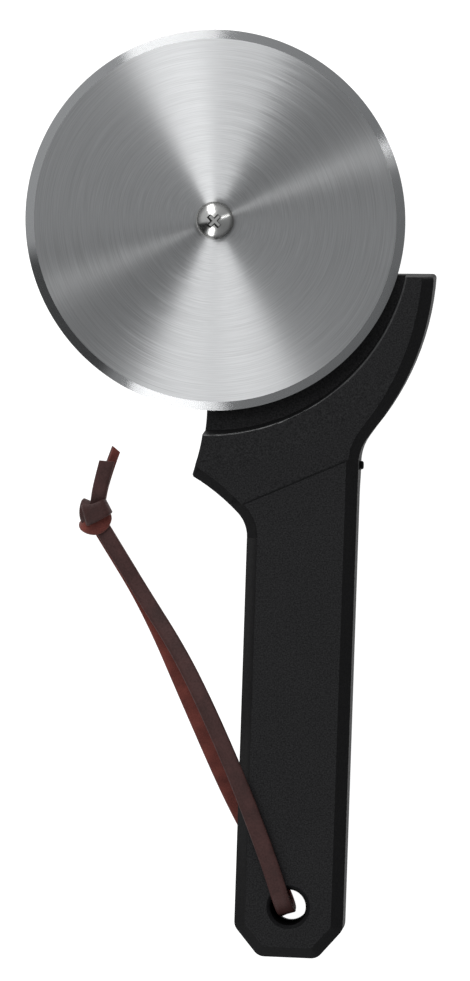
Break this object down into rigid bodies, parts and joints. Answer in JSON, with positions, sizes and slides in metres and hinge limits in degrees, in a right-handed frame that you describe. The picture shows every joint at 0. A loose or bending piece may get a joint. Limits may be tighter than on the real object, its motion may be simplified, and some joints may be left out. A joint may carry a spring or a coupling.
{
  "type": "pizza cutter wheel",
  "caption": "Pizza cutter with a round steel blade that spins on a screw axle, a black moulded handle with a finger guard, and a leather hanging lace.",
  "frame": {"origin": "on the blade's axis, in the flat back of the head that rests on a table", "axes": "+Z along the blade's axis, out of the front; +Y away from the grip; +X towards the guard"},
  "size_m": [0.1077, 0.2443, 0.0159],
  "materials": {
    "handle_plastic": "black glass-filled nylon, moulded with a fine texture",
    "blade_steel": "stainless steel, turned with a fine circular grain",
    "bright_steel": "polished stainless steel",
    "washer_plastic": "natural nylon",
    "lace_leather": "dark brown leather, smooth grain side and reddish suede side"
  },
  "bodies": {
    "handle": {"handle_shell": "handle_plastic", "back_cover": "handle_plastic", "cover_screws": "bright_steel", "axle_screw": "bright_steel", "axle_sleeve": "bright_steel", "front_washer": "washer_plastic", "rear_washer": "washer_plastic", "lock_nut": "bright_steel", "lock_nut_ring": "washer_plastic", "nut_cap": "handle_plastic"},
    "blade": {"blade": "blade_steel"},
    "lace": {"lace_front_strand": "lace_leather", "lace_back_strand": "lace_leather", "lace_knot": "lace_leather", "lace_front_tail": "lace_leather", "lace_back_tail": "lace_leather"}
  },
  "joints": [
    {"name": "blade_spin", "type": "hinge", "parent": "handle", "child": "blade", "pos_m": [0, 0, 0.00885], "axis": [0, 0, 1], "continuous": true},
    {"name": "lace_swing", "type": "hinge", "parent": "handle", "child": "lace", "pos_m": [0.0197, -0.18044, 0.008], "axis": [0, 0, 1], "range_deg": [0, 230]}
  ]
}
